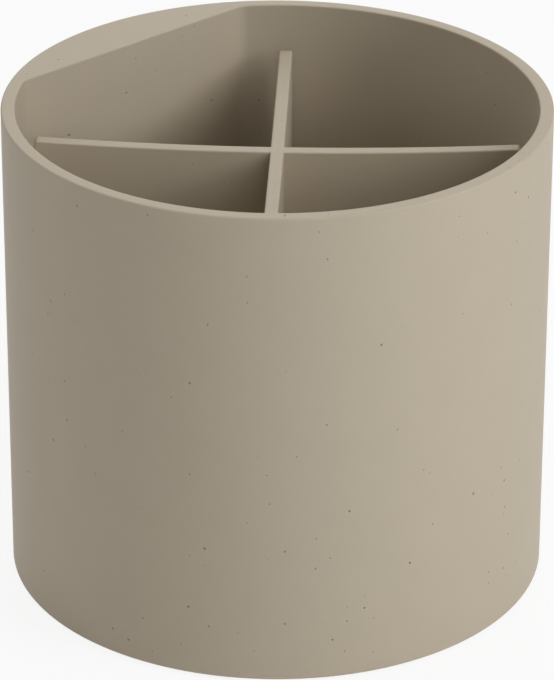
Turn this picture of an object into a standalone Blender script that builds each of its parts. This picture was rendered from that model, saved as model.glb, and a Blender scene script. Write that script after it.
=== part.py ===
"""Round bathroom cup with a lift-out divider.

The shell is a straight cylinder, open at the top. On one side its rim widens into a flat land,
whose inner wall runs straight down as a chord of the bore and is cored out from below. The
divider is a cross of four vanes on a plate with the outline of the bore, so that it can only
stand square to the land. A soft pad in a recess under the base closes the core and stands on
the surface below.

Metres, +Z up. The origin is the centre of the face that the cup stands on. The vanes lie along
X and Y, and the land lies between the -X and the +Y vane.
"""

import math

import bmesh
import bpy

# Clearances and overruns
seat_gap = 0.0003  # between a piece and what it rests on or hangs under
pad_side_gap = 0.0004  # between the pad's edge and its recess
plate_side_gap = 0.0004  # between the divider's plate and the bore
cut_overrun = 0.0020  # how far a cut runs past the face that it opens
merge_distance = 0.000001  # below it, points that meet become one

# Shell
cup_height = 0.1010  # from the surface below to the rim
cup_radius = 0.0550
rim_wall = 0.0028  # wall at the rim
rim_outer_round = 0.0004
rim_inner_round = 0.0003
foot_round = 0.0005
bore_draft = 0.0005  # how far the bore draws in from the rim to the floor
floor_thickness = 0.0028
floor_fillet = 0.0015

# Land, and the core behind its wall
land_width = 0.0092  # from the bore's circle to the middle of the land's inner edge
land_direction = math.radians(135)  # from +X
land_corner = 0.0015  # rounding where the land's wall meets the bore
core_wall = 0.0025  # plastic left between the core and the bore, and under the land
core_ledge = 0.0006  # step between the core and the edge of the pad's recess
core_end_depth = 0.0025  # depth of the core at its two ends
core_rib = 0.0020
core_rib_count = 2

# Pad
foot_width = 0.0030  # ring of the shell around the pad's recess
pad_thickness = 0.0017
pad_stand = 0.0005  # how far the pad holds the shell off the surface
pad_round = 0.0003

# Divider
vane_end_gap = 0.0036  # from a vane's end to the bore, at the rim
vane_thickness = 0.0027  # at the top edge
vane_draft = 0.0002  # how much each side grows from the top edge to the plate
vane_drop = 0.0101  # from the rim down to the top edge at the crossing
vane_rise = 0.0015  # how far the top edge climbs from the crossing to a vane's end
vane_corner = 0.0007
vane_edge_round = 0.0003
plate_thickness = 0.0022
plate_top_round = 0.0004

# Steps that the round shapes are divided into
round_steps = 96
bore_steps = 80
corner_steps = 3
fillet_steps = 4
edge_steps = 2
core_steps = 6
dip_steps = 16

# Places that follow from the sizes
bore_radius = cup_radius - rim_wall
land_face = bore_radius - land_width
recess_radius = cup_radius - foot_width
recess_z = pad_thickness + seat_gap
floor_z = recess_z + floor_thickness
plate_z = floor_z + seat_gap
vane_reach = bore_radius - vane_end_gap
crossing_height = cup_height - vane_drop - plate_z
root_height = plate_thickness / 2
root_down_share = (crossing_height - root_height) / (crossing_height - plate_thickness)

quarter_turn = math.pi / 2


def clear_scene():
    for old in list(bpy.data.objects):
        bpy.data.objects.remove(old, do_unlink=True)


def matt_material(name, colour, roughness):
    material = bpy.data.materials.new(name)
    material.use_nodes = True
    shader = material.node_tree.nodes["Principled BSDF"]
    shader.inputs["Base Color"].default_value = (*colour, 1.0)
    shader.inputs["Roughness"].default_value = roughness
    shader.inputs["Metallic"].default_value = 0.0
    material.diffuse_color = (*colour, 1.0)
    return material


def shell_plastic():
    return matt_material("shell_plastic", (0.48, 0.41, 0.32), 0.55)


def divider_plastic():
    return matt_material("divider_plastic", (0.48, 0.41, 0.32), 0.55)


def pad_rubber():
    return matt_material("pad_rubber", (0.16, 0.14, 0.12), 0.8)


def arc(centre, radius, start, end, steps):
    """Points along an arc from the angle start to the angle end, both included."""
    points = []
    for step in range(steps + 1):
        angle = start + (end - start) * step / steps
        points.append((centre[0] + radius * math.cos(angle), centre[1] + radius * math.sin(angle)))
    return points


def make_object(name, bm, material, parent=None):
    bmesh.ops.recalc_face_normals(bm, faces=bm.faces)
    mesh = bpy.data.meshes.new(name)
    bm.to_mesh(mesh)
    bm.free()
    mesh.shade_smooth()
    mesh.set_sharp_from_angle(angle=math.radians(30))
    mesh.materials.append(material)
    made = bpy.data.objects.new(name, mesh)
    bpy.context.scene.collection.objects.link(made)
    made.parent = parent
    return made


def combine(target, tool, operation):
    """Cuts a hidden tool out of the target, or joins it on."""
    tool.hide_render = True
    tool.display_type = "WIRE"
    modifier = target.modifiers.new(tool.name, "BOOLEAN")
    modifier.operation = operation
    modifier.object = tool


def turned(profile):
    """Turns a profile of (radius, height) points about Z and closes its ends with flat faces."""
    bm = bmesh.new()
    verts = [bm.verts.new((radius, 0, height)) for radius, height in profile]
    edges = [bm.edges.new(pair) for pair in zip(verts, verts[1:])]
    bmesh.ops.spin(
        bm,
        geom=verts + edges,
        cent=(0, 0, 0),
        axis=(0, 0, 1),
        angle=2 * math.pi,
        steps=round_steps,
        use_merge=True,
    )
    open_edges = [edge for edge in bm.edges if edge.is_boundary]
    bmesh.ops.holes_fill(bm, edges=open_edges, sides=0)
    return bm


def lofted(bm, rings):
    """Skins a row of rings, each a list of as many points, and closes both ends."""
    loops = [[bm.verts.new(point) for point in ring] for ring in rings]
    for here, there in zip(loops, loops[1:]):
        for first in range(len(here)):
            second = (first + 1) % len(here)
            bm.faces.new((here[first], here[second], there[second], there[first]))
    bm.faces.new(loops[0])
    bm.faces.new(loops[-1])
    return bm


def toward_land(along, across, height):
    """A place measured along the land's direction and across it, in the part's own frame."""
    cosine = math.cos(land_direction)
    sine = math.sin(land_direction)
    return (along * cosine - across * sine, along * sine + across * cosine, height)


def bore_ring(inset, height):
    """The bore's outline, drawn in by inset: most of a circle, closed by the land's chord."""
    radius = bore_radius - inset
    corner_along = land_face - inset - land_corner
    corner_across = math.sqrt((radius - land_corner) ** 2 - corner_along ** 2)
    turn = math.atan2(corner_across, corner_along)
    outline = arc((corner_along, corner_across), land_corner, 0, turn, corner_steps)
    outline += arc((0, 0), radius, turn, 2 * math.pi - turn, bore_steps)[1:-1]
    outline += arc((corner_along, -corner_across), land_corner, -turn, 0, corner_steps)
    return [toward_land(along, across, height) for along, across in outline]


def shell_blank(material):
    """The shell before its hollows are cut: a round block with the pad's recess under it."""
    rim_centre = (cup_radius - rim_outer_round, cup_height - rim_outer_round)
    foot_centre = (cup_radius - foot_round, pad_stand + foot_round)
    profile = arc(rim_centre, rim_outer_round, quarter_turn, 0, corner_steps)
    profile += arc(foot_centre, foot_round, 0, -quarter_turn, edge_steps)
    profile += [(recess_radius, pad_stand), (recess_radius, recess_z)]
    return make_object("cup_shell", turned(profile), material)


def bore_tool(material):
    """The bore: the rim's rounded inner edge, a wall that draws in and the floor's fillet."""
    rings = [bore_ring(-rim_inner_round, cup_height + cut_overrun)]
    for across, up in arc((0, 0), rim_inner_round, quarter_turn, 0, edge_steps):
        inset = across - rim_inner_round
        rings.append(bore_ring(inset, cup_height - rim_inner_round + up))
    for across, down in arc((0, 0), floor_fillet, 0, quarter_turn, fillet_steps):
        inset = bore_draft + floor_fillet - across
        rings.append(bore_ring(inset, floor_z + floor_fillet - down))
    return make_object("bore_tool", lofted(bmesh.new(), rings), material)


def core_tool(material):
    """The pockets behind the land's wall, open into the pad's recess and parted by upright ribs."""
    face = land_face + core_wall
    reach = recess_radius - core_ledge
    half_length = math.sqrt(reach ** 2 - (face + core_end_depth) ** 2)
    pocket_count = core_rib_count + 1
    pocket_length = (2 * half_length - core_rib_count * core_rib) / pocket_count
    bm = bmesh.new()
    for pocket in range(pocket_count):
        start = pocket * (pocket_length + core_rib) - half_length
        end = start + pocket_length
        outline = [(face, end), (face, start)]
        outline += arc((0, 0), reach, math.asin(start / reach), math.asin(end / reach), core_steps)
        rings = []
        for height in (recess_z - cut_overrun, cup_height - core_wall):
            rings.append([toward_land(along, across, height) for along, across in outline])
        lofted(bm, rings)
    return make_object("core_tool", bm, material)


def cup_shell():
    material = shell_plastic()
    shell = shell_blank(material)
    combine(shell, bore_tool(material), "DIFFERENCE")
    combine(shell, core_tool(material), "DIFFERENCE")
    return shell


def base_pad():
    radius = recess_radius - pad_side_gap
    top_centre = (radius - pad_round, pad_thickness - pad_round)
    bottom_centre = (radius - pad_round, pad_round)
    profile = arc(top_centre, pad_round, quarter_turn, 0, edge_steps)
    profile += arc(bottom_centre, pad_round, 0, -quarter_turn, edge_steps)
    return make_object("base_pad", turned(profile), pad_rubber())


def divider_plate(material, carrier):
    """The plate, with its underside rounded to nest in the floor's fillet."""
    inset_at_side = bore_draft + plate_side_gap
    bottom_round = min(floor_fillet, plate_thickness - plate_top_round)
    rings = []
    for across, down in arc((0, 0), bottom_round, quarter_turn, 0, fillet_steps):
        rings.append(bore_ring(inset_at_side + bottom_round - across, bottom_round - down))
    for across, up in arc((0, 0), plate_top_round, 0, quarter_turn, edge_steps):
        inset = inset_at_side + plate_top_round - across
        rings.append(bore_ring(inset, plate_thickness - plate_top_round + up))
    return make_object("divider", lofted(bmesh.new(), rings), material, parent=carrier)


def vane_path(inset, half_width):
    """One vane seen from the side, drawn in by inset, from the crossing's corner at half_width
    out along the dipped top edge, round the corner and down the upright end to the plate."""
    dip_radius = (vane_reach ** 2 + vane_rise ** 2) / (2 * vane_rise)
    dip_centre = crossing_height + dip_radius
    corner_x = vane_reach - vane_corner
    corner_z = dip_centre - math.sqrt((dip_radius + vane_corner) ** 2 - corner_x ** 2)
    turn = math.atan2(dip_centre - corner_z, -corner_x)
    start = math.asin(half_width / (dip_radius + inset)) - quarter_turn
    top = arc((0, dip_centre), dip_radius + inset, start, turn - math.pi, dip_steps)
    corner = arc((corner_x, corner_z), vane_corner - inset, turn, 0, fillet_steps)
    return top[:-1] + corner + [(vane_reach - inset, root_height)]


def vane_row(bm, inset, half_width, side):
    """One lengthwise row of a vane's points, on the side +1 or -1 of its middle plane. The vane
    thickens downwards, and the row starts on the diagonal that it shares with the next vane."""
    row = []
    for x, z in vane_path(inset, half_width):
        down_share = (crossing_height - z) / (crossing_height - plate_thickness)
        y = half_width + vane_draft * down_share
        row.append(bm.verts.new((max(x, y), side * y, z)))
    return row


def vane_side(bm, side):
    """The rows over one rounded long edge of a vane, from its flat top to its side."""
    flat_half = vane_thickness / 2 - vane_edge_round
    rows = []
    for across, down in arc((0, -vane_edge_round), vane_edge_round, quarter_turn, 0, edge_steps):
        rows.append(vane_row(bm, -down, flat_half + across, side))
    return rows


def add_vane(bm):
    """The vane along +X as an open skin, from the axis to its end. Four of them close."""
    left = vane_side(bm, 1)
    right = vane_side(bm, -1)
    rows = list(reversed(left)) + right
    for here, there in zip(rows, rows[1:]):
        for step in range(len(here) - 1):
            bm.faces.new((here[step], here[step + 1], there[step + 1], there[step]))
    crossing_top = bm.verts.new((0, 0, crossing_height))
    bm.faces.new((crossing_top, left[0][0], right[0][0]))
    root_half = vane_thickness / 2 + vane_draft * root_down_share
    crossing_root = bm.verts.new((0, 0, root_height))
    left_root = bm.verts.new((root_half, root_half, root_height))
    right_root = bm.verts.new((root_half, -root_half, root_height))
    bm.faces.new([left_root] + left[-1])
    bm.faces.new([right_root] + right[-1])
    bm.faces.new([crossing_root, left_root] + [row[-1] for row in rows] + [right_root])


def cross_tool(material, carrier):
    """Four vanes in one body, rooted halfway down the plate."""
    bm = bmesh.new()
    add_vane(bm)
    bmesh.ops.spin(
        bm,
        geom=bm.verts[:] + bm.edges[:] + bm.faces[:],
        cent=(0, 0, 0),
        axis=(0, 0, 1),
        angle=3 * quarter_turn,
        steps=3,
        use_duplicate=True,
    )
    bmesh.ops.remove_doubles(bm, verts=bm.verts, dist=merge_distance)
    return make_object("cross_tool", bm, material, parent=carrier)


def divider():
    """The cross on its plate. The carrier stands at the foot of the axis that it lifts along."""
    carrier = bpy.data.objects.new("divider_lift", None)
    bpy.context.scene.collection.objects.link(carrier)
    carrier.location.z = plate_z
    material = divider_plastic()
    plate = divider_plate(material, carrier)
    combine(plate, cross_tool(material, carrier), "UNION")
    return plate


def main():
    clear_scene()
    cup_shell()
    base_pad()
    divider()


main()
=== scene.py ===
# Surfaces, materials, light and camera for the bathroom cup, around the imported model.
# Metres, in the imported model's own frame: +Z up, the divider's vanes along X and Y, and the flat
# land of the rim between the -X and the +Y vane.
import math

import bmesh
import bpy
from mathutils import Matrix, Vector


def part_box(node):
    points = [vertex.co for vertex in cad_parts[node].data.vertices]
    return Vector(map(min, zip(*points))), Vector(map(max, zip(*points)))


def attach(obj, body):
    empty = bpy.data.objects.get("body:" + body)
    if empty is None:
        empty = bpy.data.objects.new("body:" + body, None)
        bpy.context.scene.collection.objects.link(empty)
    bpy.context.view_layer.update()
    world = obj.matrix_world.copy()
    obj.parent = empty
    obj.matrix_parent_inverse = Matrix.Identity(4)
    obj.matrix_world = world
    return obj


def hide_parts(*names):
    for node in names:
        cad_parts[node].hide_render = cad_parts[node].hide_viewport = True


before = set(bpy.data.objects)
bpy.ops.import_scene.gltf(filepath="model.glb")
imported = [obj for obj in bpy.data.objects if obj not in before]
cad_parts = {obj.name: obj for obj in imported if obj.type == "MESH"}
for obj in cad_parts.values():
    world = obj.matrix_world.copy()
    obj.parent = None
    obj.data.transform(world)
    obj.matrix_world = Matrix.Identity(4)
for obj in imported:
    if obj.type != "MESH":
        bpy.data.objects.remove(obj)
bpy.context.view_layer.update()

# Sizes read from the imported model
shell_low, shell_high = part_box("cup_shell")
pad_low, pad_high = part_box("base_pad")
divider_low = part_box("divider")[0]

cup_radius = shell_high.x
cup_height = shell_high.z
foot_z = shell_low.z
pad_radius = pad_high.x
pad_top = pad_high.z
plate_z = divider_low.z

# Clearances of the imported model
seat_gap = 0.0003
pad_side_gap = 0.0004
plate_side_gap = 0.0004

# Sizes of the shell and the pad
rim_wall = 0.0028
rim_outer_round = 0.0004
rim_inner_round = 0.0003
foot_round = 0.0005
bore_draft = 0.0005
floor_thickness = 0.0028
floor_fillet = 0.0015
land_width = 0.0092
land_direction = math.radians(135)
land_corner = 0.0045
core_wall = 0.0025
core_ledge = 0.0006
core_end_depth = 0.0025
core_rib = 0.0020
core_rib_count = 2
pad_round = 0.0003

# Sizes of the divider
vane_count = 4
vane_end_gap = 0.0036
vane_thickness = 0.0027
vane_draft = 0.0002
vane_drop = 0.0101
vane_rise = 0.0015
vane_corner = 0.0007
vane_edge_round = 0.0003
plate_thickness = 0.0022
plate_top_round = 0.0004

# Places that follow
bore_radius = cup_radius - rim_wall
land_face = bore_radius - land_width
recess_radius = pad_radius + pad_side_gap
recess_z = pad_top + seat_gap
floor_z = recess_z + floor_thickness
vane_reach = bore_radius - vane_end_gap
crossing_height = cup_height - vane_drop - plate_z
root_height = plate_thickness / 2

# Turns
quarter_turn = math.pi / 2
half_turn = math.pi
full_turn = 2 * math.pi

# Fineness of the meshes
arc_steps = 360
chord_steps = 72
corner_steps = 12
edge_steps = 4
fillet_steps = 8
dip_steps = 40
core_steps = 24
edge_margin = 0.00008  # a strip beside each round that keeps its shading off the flat faces
merge_distance = 0.000001
sharp_angle = math.radians(38)

# Places of the Mix node's sockets
vector_first, vector_second, vector_result = 4, 5, 1
colour_first, colour_second, colour_result = 6, 7, 2


# Node trees
class Tree:
    """A node tree with short calls that add its nodes and link them."""

    def __init__(self, tree):
        self.tree = tree

    def node(self, kind, sockets=None, **settings):
        made = self.tree.nodes.new(kind)
        for key, value in settings.items():
            setattr(made, key, value)
        for key, value in (sockets or {}).items():
            self.feed(made.inputs[key], value)
        return made

    def feed(self, socket, value):
        if isinstance(value, bpy.types.NodeSocket):
            self.tree.links.new(value, socket)
        else:
            socket.default_value = value

    def math(self, operation, *values):
        made = self.node("ShaderNodeMath", operation=operation)
        for socket, value in zip(made.inputs, values):
            self.feed(socket, value)
        return made.outputs[0]


class Form(Tree):
    """A Geometry Nodes tree with named inputs."""

    kinds = {int: "NodeSocketInt", float: "NodeSocketFloat"}

    def __init__(self, name, material, **sizes):
        super().__init__(bpy.data.node_groups.new(name, "GeometryNodeTree"))
        self.material = material
        sockets = self.tree.interface
        sockets.new_socket("Geometry", in_out="INPUT", socket_type="NodeSocketGeometry")
        sockets.new_socket("Geometry", in_out="OUTPUT", socket_type="NodeSocketGeometry")
        self.values = {}
        for key, value in sizes.items():
            made = sockets.new_socket(key, in_out="INPUT", socket_type=self.kinds[type(value)])
            self.values[made.identifier] = value
        self.given = self.node("NodeGroupInput").outputs

    def vector(self, operation, *values):
        made = self.node("ShaderNodeVectorMath", operation=operation)
        for key, value in zip(("Vector", 1), values):
            self.feed(made.inputs[key], value)
        return made.outputs["Vector"]

    def sample(self, kind, value, index):
        """The value that the given mesh has at a point."""
        made = self.node(
            "GeometryNodeSampleIndex",
            {"Geometry": self.given["Geometry"], "Value": value, "Index": index},
            data_type=kind,
            domain="POINT",
        )
        return made.outputs[0]

    def end(self, geometry):
        """Realizes what is instanced, welds it, gives it its material and ends the tree."""
        real = self.node("GeometryNodeRealizeInstances", {"Geometry": geometry})
        weld = self.node(
            "GeometryNodeMergeByDistance", {"Geometry": real.outputs[0], "Distance": merge_distance}
        )
        paint = self.node(
            "GeometryNodeSetMaterial", {"Geometry": weld.outputs[0], "Material": self.material}
        )
        self.node("NodeGroupOutput", {"Geometry": paint.outputs[0]})

    def grow(self, name, mesh):
        """Runs the tree on a mesh and returns the result as a plain mesh object."""
        made = placed(name, mesh)
        modifier = made.modifiers.new(self.tree.name, "NODES")
        modifier.node_group = self.tree
        for key, value in self.values.items():
            modifier[key] = value
        made.data = plain_copy(made)
        made.modifiers.clear()
        return made


def placed(name, data):
    """A new object in the scene, at the origin."""
    made = bpy.data.objects.new(name, data)
    bpy.context.scene.collection.objects.link(made)
    return made


def plain_copy(piece):
    """The piece's mesh as its modifiers leave it."""
    graph = bpy.context.evaluated_depsgraph_get()
    return bpy.data.meshes.new_from_object(piece.evaluated_get(graph))


def finish_piece(piece, body, node):
    """Cleans and shades a piece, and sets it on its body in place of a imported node."""
    bm = bmesh.new()
    bm.from_mesh(piece.data)
    bmesh.ops.triangulate(bm, faces=bm.faces)
    bmesh.ops.dissolve_degenerate(bm, dist=merge_distance, edges=bm.edges)
    bmesh.ops.recalc_face_normals(bm, faces=bm.faces)
    bm.to_mesh(piece.data)
    bm.free()
    piece.data.shade_smooth()
    piece.data.set_sharp_from_angle(angle=sharp_angle)
    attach(piece, body)
    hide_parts(node)


# Profiles
def arc(centre, radius, start, end, steps):
    """Points on an arc, from one angle to another."""
    points = []
    for step in range(steps + 1):
        angle = start + (end - start) * step / steps
        points.append((centre[0] + radius * math.cos(angle), centre[1] + radius * math.sin(angle)))
    return points


def turned(points, follow=0.0):
    """Points of a profile, as (distance, height, follow). With follow 0 a point's ring is a circle
    of that radius, and with follow 1 it is the bore's outline, drawn in by that distance."""
    return [(distance, height, follow) for distance, height in points]


def profile_mesh(name, points):
    mesh = bpy.data.meshes.new(name)
    mesh.from_pydata([(distance, 0, height) for distance, height, _ in points], [], [])
    follow = mesh.attributes.new("follow", "FLOAT", "POINT")
    follow.data.foreach_set("value", [point[2] for point in points])
    return mesh


def outline_form(name, material, rows):
    """Sweeps a profile round the cup's axis. Each row of the profile is a ring: a circle, or the
    outline of the bore, which is a circle cut by the land's chord with rounded corners."""
    form = Form(
        name,
        material,
        Arc_Steps=arc_steps,
        Chord_Steps=chord_steps,
        Corner_Steps=corner_steps,
        Bore_Radius=float(bore_radius),
        Land_Face=float(land_face),
        Land_Corner=land_corner,
        Land_Direction=land_direction,
    )
    given, math_node = form.given, form.math
    corner, arcs, chord = given["Corner_Steps"], given["Arc_Steps"], given["Chord_Steps"]
    first_arc = corner
    second_corner = math_node("ADD", corner, arcs)
    first_chord = math_node("ADD", second_corner, corner)
    columns = math_node("ADD", math_node("ADD", first_chord, chord), 1)
    grid = form.node("GeometryNodeMeshGrid", {"Vertices X": columns, "Vertices Y": rows})

    index = form.node("GeometryNodeInputIndex").outputs[0]
    row = math_node("MODULO", index, rows)
    column = math_node("FLOOR", math_node("DIVIDE", math_node("ADD", index, 0.5), rows))
    point = form.sample("FLOAT_VECTOR", form.node("GeometryNodeInputPosition").outputs[0], row)
    follow_value = form.node(
        "GeometryNodeInputNamedAttribute", {"Name": "follow"}, data_type="FLOAT"
    )
    follow = form.sample("FLOAT", follow_value.outputs[0], row)
    split = form.node("ShaderNodeSeparateXYZ", {"Vector": point}).outputs
    distance, height = split["X"], split["Z"]

    inset = math_node("MULTIPLY", distance, follow)
    drawn_bore = math_node("SUBTRACT", given["Bore_Radius"], inset)
    drawn_face = math_node("SUBTRACT", given["Land_Face"], inset)
    inner = math_node("SUBTRACT", drawn_bore, given["Land_Corner"])
    face = math_node("SUBTRACT", drawn_face, given["Land_Corner"])
    corner_turn = math_node("ARCCOSINE", math_node("DIVIDE", face, inner))
    arc_turn = math_node("SUBTRACT", full_turn, math_node("MULTIPLY", corner_turn, 2))

    def share(start, steps):
        """How far a column is through a stretch of the outline, from 0 to 1."""
        end = math_node("ADD", start, steps)
        made = form.node(
            "ShaderNodeMapRange", {"Value": column, "From Min": start, "From Max": end}
        )
        return made.outputs[0]

    both_corners = math_node("ADD", share(0.0, corner), share(second_corner, corner))
    normal_turn = math_node(
        "ADD",
        math_node("MULTIPLY", corner_turn, both_corners),
        math_node("MULTIPLY", arc_turn, share(first_arc, arcs)),
    )
    centre_turn = math_node(
        "MINIMUM",
        math_node("MAXIMUM", normal_turn, corner_turn),
        math_node("ADD", corner_turn, arc_turn),
    )
    half_chord = math_node("MULTIPLY", inner, math_node("SINE", corner_turn))
    chord_way = math_node(
        "MULTIPLY", math_node("MULTIPLY", half_chord, 2), share(first_chord, chord)
    )

    def outline_place(operation):
        """From the axis to the corner's centre, and on by the corner's radius, in one direction."""
        return math_node(
            "ADD",
            math_node("MULTIPLY", inner, math_node(operation, centre_turn)),
            math_node("MULTIPLY", given["Land_Corner"], math_node(operation, normal_turn)),
        )

    along = outline_place("COSINE")
    across = math_node("ADD", outline_place("SINE"), chord_way)
    bore_point = form.node("ShaderNodeCombineXYZ", {"X": along, "Y": across}).outputs[0]
    circle_way = form.vector("NORMALIZE", bore_point)
    circle_point = form.node(
        "ShaderNodeVectorMath", {"Vector": circle_way, "Scale": distance}, operation="SCALE"
    ).outputs[0]
    mix = form.node(
        "ShaderNodeMix",
        {"Factor": follow, vector_first: circle_point, vector_second: bore_point},
        data_type="VECTOR",
    )
    flat = form.node(
        "ShaderNodeVectorRotate",
        {"Vector": mix.outputs[vector_result], "Angle": given["Land_Direction"]},
        rotation_type="Z_AXIS",
    ).outputs[0]
    lift = form.node("ShaderNodeCombineXYZ", {"Z": height}).outputs[0]
    place = form.node(
        "GeometryNodeSetPosition",
        {"Geometry": grid.outputs["Mesh"], "Position": form.vector("ADD", flat, lift)},
    )
    form.end(place.outputs[0])
    return form


def swept(name, material, points):
    form = outline_form(name + "_form", material, len(points))
    return form.grow(name, profile_mesh(name, points))


# The shell
def shell_profile():
    """From the middle of the recess out round the foot, up, over the rim and down the bore."""
    foot = foot_z + foot_round
    edge = cup_radius - foot_round
    points = turned([(0, recess_z), (recess_radius - edge_margin, recess_z)])
    points += turned([(recess_radius, recess_z), (recess_radius, foot_z)])
    points += turned([(recess_radius + edge_margin, foot_z), (edge - edge_margin, foot_z)])
    points += turned(arc((edge, foot), foot_round, -quarter_turn, 0, edge_steps))
    rim = (cup_radius - rim_outer_round, cup_height - rim_outer_round)
    points += turned([(cup_radius, foot + edge_margin), (cup_radius, rim[1] - edge_margin)])
    points += turned(arc(rim, rim_outer_round, 0, quarter_turn, edge_steps))
    points += turned([(rim[0] - edge_margin, cup_height)])
    points += turned([(-rim_inner_round - edge_margin, cup_height)], 1.0)
    inner_rim = (-rim_inner_round, cup_height - rim_inner_round)
    points += turned(arc(inner_rim, rim_inner_round, quarter_turn, 0, edge_steps), 1.0)
    points += turned([(0, inner_rim[1] - edge_margin)], 1.0)
    fillet = (bore_draft + floor_fillet, floor_z + floor_fillet)
    points += turned([(bore_draft, fillet[1] + edge_margin)], 1.0)
    points += turned(arc(fillet, floor_fillet, half_turn, 3 * quarter_turn, fillet_steps), 1.0)
    points += turned([(fillet[0] + edge_margin, floor_z)], 1.0)
    points += turned([(0, floor_z)])
    return points


def toward_land(along, across, height):
    """A place given along and across the land's direction, in the model's frame."""
    cosine = math.cos(land_direction)
    sine = math.sin(land_direction)
    return (along * cosine - across * sine, along * sine + across * cosine, height)


def core_pockets():
    """The pockets behind the land's wall, open into the pad's recess, as a tool to cut with."""
    face = land_face + core_wall
    reach = recess_radius - core_ledge
    half_length = math.sqrt(reach ** 2 - (face + core_end_depth) ** 2)
    pocket_count = core_rib_count + 1
    pocket_length = (2 * half_length - core_rib_count * core_rib) / pocket_count
    bm = bmesh.new()
    for pocket in range(pocket_count):
        start = pocket * (pocket_length + core_rib) - half_length
        end = start + pocket_length
        outline = [(face, end), (face, start)]
        outline += arc((0, 0), reach, math.asin(start / reach), math.asin(end / reach), core_steps)
        loops = []
        for height in (recess_z / 2, cup_height - core_wall):
            loops.append([bm.verts.new(toward_land(*place, height)) for place in outline])
        low, high = loops
        for here in range(len(outline)):
            there = (here + 1) % len(outline)
            bm.faces.new((low[here], low[there], high[there], high[here]))
        bm.faces.new(low)
        bm.faces.new(high)
    bmesh.ops.recalc_face_normals(bm, faces=bm.faces)
    mesh = bpy.data.meshes.new("core_pockets")
    bm.to_mesh(mesh)
    bm.free()
    return placed("core_pockets", mesh)


def joined(piece, tool, operation):
    """Cuts the tool out of the piece, or joins it on, and removes the tool."""
    modifier = piece.modifiers.new(tool.name, "BOOLEAN")
    modifier.operation = operation
    modifier.object = tool
    modifier.material_mode = "INDEX"
    piece.data = plain_copy(piece)
    piece.modifiers.clear()
    bpy.data.objects.remove(tool)


def make_shell(material):
    shell = swept("shell_moulding", material, shell_profile())
    joined(shell, core_pockets(), "DIFFERENCE")
    finish_piece(shell, "cup", "cup_shell")


# The pad
def make_pad(material):
    edge = pad_radius - pad_round
    high, low = pad_top - pad_round, pad_low.z + pad_round
    points = turned([(0, pad_low.z), (edge - edge_margin, pad_low.z)])
    points += turned(arc((edge, low), pad_round, -quarter_turn, 0, edge_steps))
    points += turned(arc((edge, high), pad_round, 0, quarter_turn, edge_steps))
    points += turned([(edge - edge_margin, pad_top), (0, pad_top)])
    finish_piece(swept("pad_disc", material, points), "cup", "base_pad")


# The divider
def down_share(height):
    """How far a height is down a vane, from 0 at the crossing's top to 1 at the plate's."""
    return (crossing_height - height) / (crossing_height - plate_thickness)


def vane_path(inset, half_width):
    """One vane seen from the side, drawn in by inset, from the crossing's corner at half_width
    out along the dipped top edge, round the corner and down the upright end to the plate."""
    dip_radius = (vane_reach ** 2 + vane_rise ** 2) / (2 * vane_rise)
    dip_centre = crossing_height + dip_radius
    corner_x = vane_reach - vane_corner
    corner_z = dip_centre - math.sqrt((dip_radius + vane_corner) ** 2 - corner_x ** 2)
    turn = math.atan2(dip_centre - corner_z, -corner_x)
    start = math.asin(half_width / (dip_radius + inset)) - quarter_turn
    top = arc((0, dip_centre), dip_radius + inset, start, turn - half_turn, dip_steps)
    corner = arc((corner_x, corner_z), vane_corner - inset, turn, 0, fillet_steps)
    return top[:-1] + corner + [(vane_reach - inset, root_height)]


def vane_row(bm, inset, half_width, side):
    """One lengthwise row of a vane's points, on the side +1 or -1 of its middle plane."""
    row = []
    for x, z in vane_path(inset, half_width):
        y = half_width + vane_draft * down_share(z)
        row.append(bm.verts.new((max(x, y), side * y, plate_z + z)))
    return row


def vane_side(bm, side):
    """The rows over one rounded long edge of a vane, from its flat top to its side."""
    flat_half = vane_thickness / 2 - vane_edge_round
    rows = [vane_row(bm, 0, flat_half - edge_margin, side)]
    for across, down in arc((0, -vane_edge_round), vane_edge_round, quarter_turn, 0, edge_steps):
        rows.append(vane_row(bm, -down, flat_half + across, side))
    return rows


def vane_mesh():
    """The vane along +X as an open skin, from the axis to its end, which turned copies close."""
    bm = bmesh.new()
    left = vane_side(bm, 1)
    right = vane_side(bm, -1)
    rows = list(reversed(left)) + right
    for here, there in zip(rows, rows[1:]):
        for step in range(len(here) - 1):
            bm.faces.new((here[step], here[step + 1], there[step + 1], there[step]))
    crossing_top = bm.verts.new((0, 0, plate_z + crossing_height))
    bm.faces.new((crossing_top, left[0][0], right[0][0]))
    root_half = vane_thickness / 2 + vane_draft * down_share(root_height)
    root_z = plate_z + root_height
    crossing_root = bm.verts.new((0, 0, root_z))
    left_root = bm.verts.new((root_half, root_half, root_z))
    right_root = bm.verts.new((root_half, -root_half, root_z))
    sides = [bm.faces.new([left_root] + left[-1]), bm.faces.new([right_root] + right[-1])]
    bm.faces.new([crossing_root, left_root] + [row[-1] for row in rows] + [right_root])
    bmesh.ops.recalc_face_normals(bm, faces=bm.faces)
    bmesh.ops.inset_individual(bm, faces=sides, thickness=edge_margin)
    mesh = bpy.data.meshes.new("vane")
    bm.to_mesh(mesh)
    bm.free()
    return mesh


def vane_form(material):
    """Turns one vane about the cup's axis, as many times as there are vanes."""
    form = Form("vane_form", material, Vanes=vane_count)
    vanes = form.given["Vanes"]
    stations = form.node("GeometryNodeMeshLine", {"Count": vanes, "Offset": (0, 0, 0)})
    index = form.node("GeometryNodeInputIndex").outputs[0]
    turn = form.math("MULTIPLY", index, form.math("DIVIDE", full_turn, vanes))
    rotation = form.node("ShaderNodeCombineXYZ", {"Z": turn}).outputs[0]
    copies = form.node(
        "GeometryNodeInstanceOnPoints",
        {
            "Points": stations.outputs[0],
            "Instance": form.given["Geometry"],
            "Rotation": rotation,
        },
    )
    form.end(copies.outputs[0])
    return form


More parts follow.
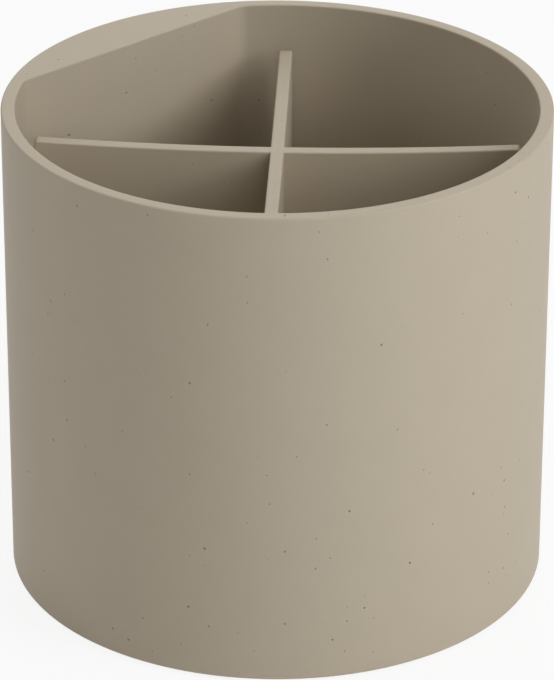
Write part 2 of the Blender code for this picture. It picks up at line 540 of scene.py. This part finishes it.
def plate_profile():
    side = bore_draft + plate_side_gap
    low_round = min(floor_fillet, plate_thickness - plate_top_round)
    top = plate_z + plate_thickness
    points = turned([(0, plate_z)])
    points += turned([(side + low_round + edge_margin, plate_z)], 1.0)
    low = (side + low_round, plate_z + low_round)
    points += turned(arc(low, low_round, 3 * quarter_turn, half_turn, fillet_steps), 1.0)
    high = (side + plate_top_round, top - plate_top_round)
    points += turned(arc(high, plate_top_round, half_turn, quarter_turn, edge_steps), 1.0)
    points += turned([(side + plate_top_round + edge_margin, top)], 1.0)
    points += turned([(0, top)])
    return points


def make_divider(material):
    divider = vane_form(material).grow("divider_moulding", vane_mesh())
    joined(divider, swept("divider_plate", material, plate_profile()), "UNION")
    finish_piece(divider, "divider", "divider")


# Finish of the plastic
plastic_colour = (0.466, 0.396, 0.294, 1.0)
plastic_pale = (0.474, 0.403, 0.300, 1.0)
plastic_mottle_size = 0.011
plastic_grain_size = 0.00022
plastic_grain_shade = (0.975, 1.025)
plastic_roughness = (0.55, 0.65)
plastic_relief_size = 0.00035
plastic_relief_depth = 0.00002
plastic_relief_strength = 0.35

# Small pits in the plastic, each in a cell of its pattern, with the share of the cells that hold
# one; the dark colour in each pit is painted shade
pit_radius = 0.00024
small_pits_painted_shade = {
    "cell": 0.0019,
    "share": 0.095,
    "painted_shade_cover": 0.8,
    # painted shade inside the pits
    "colour": (0.27, 0.22, 0.15, 1.0),
    "pit_depth": 0.00012,
}
large_pits_painted_shade = {
    "cell": 0.0031,
    "share": 0.21,
    "painted_shade_cover": 0.6,
    # painted shade inside the pits
    "colour": (0.10, 0.075, 0.05, 1.0),
    "pit_depth": 0.00025,
}

# Form of a pit and of the shade painted in it, in shares of its radius
least_pit = 0.65
pit_shade_fade = (0.7, 1.0)
pit_slope = (0.2, 1.7)
choice_step = 0.001

# Finish of the pad
rubber_colour = (0.15, 0.13, 0.11, 1.0)
rubber_pale = (0.175, 0.152, 0.13, 1.0)
rubber_mottle_size = 0.008
rubber_grain_size = 0.0005
rubber_grain_detail = 3.0
rubber_roughness = (0.74, 0.86)
rubber_relief_depth = 0.00006
rubber_relief_strength = 0.6

# Noise that both finishes use, and the bands of its values that are spread over a range
mottle_detail = 3.0
mottle_roughness = 0.6
mottle_band = (0.35, 0.65)
grain_band = (0.3, 0.7)
rising = (0.0, 1.0)
falling = (1.0, 0.0)


# Materials
class Finish(Tree):
    """A material whose Principled shader is fed from Object coordinates."""

    def __init__(self, name):
        self.material = bpy.data.materials.new(name)
        self.material.use_nodes = True
        super().__init__(self.material.node_tree)
        self.shader = self.tree.nodes["Principled BSDF"]
        self.place = self.node("ShaderNodeTexCoord").outputs["Object"]

    def noise(self, size, detail=2.0, rough=0.5):
        made = self.node(
            "ShaderNodeTexNoise",
            {"Vector": self.place, "Scale": 1 / size, "Detail": detail, "Roughness": rough},
        )
        return made.outputs["Fac"]

    def ranged(self, value, band, result, smooth="LINEAR"):
        made = self.node(
            "ShaderNodeMapRange",
            {
                "Value": value,
                "From Min": band[0],
                "From Max": band[1],
                "To Min": result[0],
                "To Max": result[1],
            },
            interpolation_type=smooth,
        )
        return made.outputs[0]

    def blend(self, factor, first, second, kind="MIX"):
        made = self.node(
            "ShaderNodeMix",
            {"Factor": factor, colour_first: first, colour_second: second},
            data_type="RGBA",
            blend_type=kind,
        )
        return made.outputs[colour_result]

    def mottled(self, size, first, second):
        """Two near colours in soft clouds."""
        clouds = self.noise(size, mottle_detail, mottle_roughness)
        return self.blend(self.ranged(clouds, mottle_band, rising), first, second)

    def pits_and_painted_shade(self, cell, radius, share):
        """Round pits, in that share of the cells: the mask of the shade painted in them and of
        their bowls.
        """
        cells = self.node("ShaderNodeTexVoronoi", {"Vector": self.place, "Scale": 1 / cell})
        chance = self.node("ShaderNodeSeparateColor", {"Color": cells.outputs["Color"]}).outputs
        sizes = (least_pit * radius / cell, radius / cell)
        size = self.ranged(chance[1], rising, sizes)
        away = self.math("DIVIDE", cells.outputs["Distance"], size)
        pit_shade_mask = self.ranged(away, pit_shade_fade, falling)
        bowl = self.ranged(away, pit_slope, falling, "SMOOTHSTEP")
        there = self.ranged(chance[0], (share, share + choice_step), falling)
        return self.math("MULTIPLY", pit_shade_mask, there), self.math("MULTIPLY", bowl, there)

    def bump(self, height, depth, strength=1.0, invert=False):
        """Adds a relief over the ones that the finish already has."""
        made = self.node(
            "ShaderNodeBump",
            {"Height": height, "Distance": depth, "Strength": strength},
            invert=invert,
        )
        normal = self.shader.inputs["Normal"]
        for link in list(normal.links):
            self.feed(made.inputs["Normal"], link.from_socket)
        self.feed(normal, made.outputs[0])


def speckled_plastic(name):
    """Matt moulded plastic with sparse small pits, each darkened with painted shade."""
    finish = Finish(name)
    base = finish.mottled(plastic_mottle_size, plastic_colour, plastic_pale)
    grain = finish.noise(plastic_grain_size)
    shade = finish.ranged(grain, grain_band, plastic_grain_shade)
    base = finish.blend(1.0, base, shade, "MULTIPLY")
    relief = finish.noise(plastic_relief_size)
    finish.bump(relief, plastic_relief_depth, plastic_relief_strength)
    for kind in (small_pits_painted_shade, large_pits_painted_shade):
        painted_pit_shade, pits = finish.pits_and_painted_shade(kind["cell"], pit_radius, kind["share"])
        # paints the shade inside each pit as a dark colour over the plastic
        base = finish.blend(finish.math("MULTIPLY", painted_pit_shade, kind["painted_shade_cover"]), base, kind["colour"])
        finish.bump(pits, kind["pit_depth"], invert=True)
    finish.feed(finish.shader.inputs["Base Color"], base)
    roughness = finish.ranged(grain, grain_band, plastic_roughness)
    finish.feed(finish.shader.inputs["Roughness"], roughness)
    return finish.material


def pad_rubber():
    """Soft matt non-slip rubber with a fine grain."""
    finish = Finish("pad_rubber")
    base = finish.mottled(rubber_mottle_size, rubber_colour, rubber_pale)
    finish.feed(finish.shader.inputs["Base Color"], base)
    grain = finish.noise(rubber_grain_size, rubber_grain_detail)
    roughness = finish.ranged(grain, grain_band, rubber_roughness)
    finish.feed(finish.shader.inputs["Roughness"], roughness)
    finish.bump(grain, rubber_relief_depth, rubber_relief_strength)
    return finish.material


# The camera, as fitted to the photo: pixels of the photo, radians, and shares of the cup's radius
picture_px = (554, 680)
view_focal_px = 4203.7
view_centre_px = (276.811, 339.482)
view_tilt = 0.46147
view_roll = 0.00235
view_turn = math.radians(2.08)
view_distance = 15.632
view_centre_height = 0.87166
sensor_mm = 36.0
view_near, view_far = 0.01, 20


def make_camera():
    data = bpy.data.cameras.new("camera")
    data.sensor_width = sensor_mm
    data.lens = sensor_mm * view_focal_px / max(picture_px)
    data.shift_x = (picture_px[0] / 2 - view_centre_px[0]) / max(picture_px)
    data.shift_y = (view_centre_px[1] - picture_px[1] / 2) / max(picture_px)
    data.clip_start, data.clip_end = view_near, view_far
    camera = placed("camera", data)
    back = Vector((0, -math.cos(view_tilt), math.sin(view_tilt)))
    centre = Vector((0, 0, foot_z + view_centre_height * cup_radius))
    place = centre + back * view_distance * cup_radius
    turn = Matrix.Rotation(view_turn, 4, "Z")
    tilt = Matrix.Rotation(quarter_turn - view_tilt, 4, "X")
    roll = Matrix.Rotation(view_roll, 4, "Z")
    camera.matrix_world = turn @ Matrix.Translation(place) @ tilt @ roll
    bpy.context.scene.camera = camera


# Light
lamp_distance = 1.3
plain_light = (1, 1, 1)
cool_light = (0.90, 0.99, 1.14)
ambient_level = 0.12


def lamp(name, azimuth, elevation, size, watts, colour=plain_light):
    """A soft lamp aimed at the cup. The azimuth, from the camera's side, is in degrees, and so is
    the elevation. Its size is in metres."""
    data = bpy.data.lights.new(name, "AREA")
    data.shape = "RECTANGLE"
    data.size, data.size_y = size
    data.energy = watts
    data.color = colour
    made = placed(name, data)
    turn, rise = math.radians(azimuth) + view_turn, math.radians(elevation)
    away = Vector(
        (math.sin(turn) * math.cos(rise), -math.cos(turn) * math.cos(rise), math.sin(rise))
    )
    made.location = Vector((0, 0, cup_height / 2)) + away * lamp_distance
    made.rotation_mode = "QUATERNION"
    made.rotation_quaternion = away.to_track_quat("Z", "Y")


def make_lamps():
    lamp("right", azimuth=65, elevation=34, size=(0.5, 0.8), watts=6.7)
    lamp("low_right", azimuth=55, elevation=16, size=(0.25, 0.6), watts=2.8, colour=cool_light)
    lamp("front", azimuth=13, elevation=28, size=(0.5, 0.7), watts=2.5)
    lamp("left", azimuth=-99, elevation=27, size=(0.6, 0.9), watts=3.0)
    lamp("back", azimuth=180, elevation=30, size=(0.5, 0.5), watts=1.8)
    lamp("high_back", azimuth=180, elevation=60, size=(0.5, 0.5), watts=2.0)
    lamp("top", azimuth=0, elevation=88, size=(0.6, 0.6), watts=1.6)


# Surroundings
white = (1, 1, 1, 1)
floor_colour = (0.9, 0.9, 0.9, 1)
floor_roughness = 0.9
floor_white_share = 0.88
floor_reach = 6.0
floor_drop = 0.0001


def seen_directly(tree):
    """1 where the camera, a reflection or a view through something meets a surface."""
    path = tree.node("ShaderNodeLightPath").outputs
    seen = path["Is Camera Ray"]
    for ray in ("Is Glossy Ray", "Is Transmission Ray"):
        seen = tree.math("MAXIMUM", seen, path[ray])
    return seen


def make_world():
    world = bpy.data.worlds.new("studio")
    world.use_nodes = True
    bpy.context.scene.world = world
    tree = Tree(world.node_tree)
    lit = world.node_tree.nodes["Background"]
    lit.inputs["Color"].default_value = white
    lit.inputs["Strength"].default_value = ambient_level
    seen = tree.node("ShaderNodeBackground", {"Color": white, "Strength": 1.0})
    mix = tree.node(
        "ShaderNodeMixShader", {0: seen_directly(tree), 1: lit.outputs[0], 2: seen.outputs[0]}
    )
    tree.feed(world.node_tree.nodes["World Output"].inputs["Surface"], mix.outputs[0])


def floor_white():
    """Pale paint that the camera and reflections see as nearly white, but for the shadow."""
    material = bpy.data.materials.new("floor_white")
    material.use_nodes = True
    tree = Tree(material.node_tree)
    paint = material.node_tree.nodes["Principled BSDF"]
    paint.inputs["Base Color"].default_value = floor_colour
    paint.inputs["Roughness"].default_value = floor_roughness
    glow = tree.node("ShaderNodeEmission", {"Color": white, "Strength": 1.0})
    share = tree.math("MULTIPLY", seen_directly(tree), floor_white_share)
    mix = tree.node("ShaderNodeMixShader", {0: share, 1: paint.outputs[0], 2: glow.outputs[0]})
    tree.feed(material.node_tree.nodes["Material Output"].inputs["Surface"], mix.outputs[0])
    return material


def make_floor():
    corners = []
    for x, y in ((-1, -1), (1, -1), (1, 1), (-1, 1)):
        corners.append((x * floor_reach, y * floor_reach, -floor_drop))
    mesh = bpy.data.meshes.new("floor")
    mesh.from_pydata(corners, [], [range(len(corners))])
    mesh.materials.append(floor_white())
    placed("floor", mesh)


def main():
    make_shell(speckled_plastic("shell_plastic_fine"))
    make_pad(pad_rubber())
    make_divider(speckled_plastic("divider_plastic_fine"))
    make_camera()
    make_world()
    make_floor()
    make_lamps()
    bpy.context.scene.view_settings.view_transform = "Standard"


main()
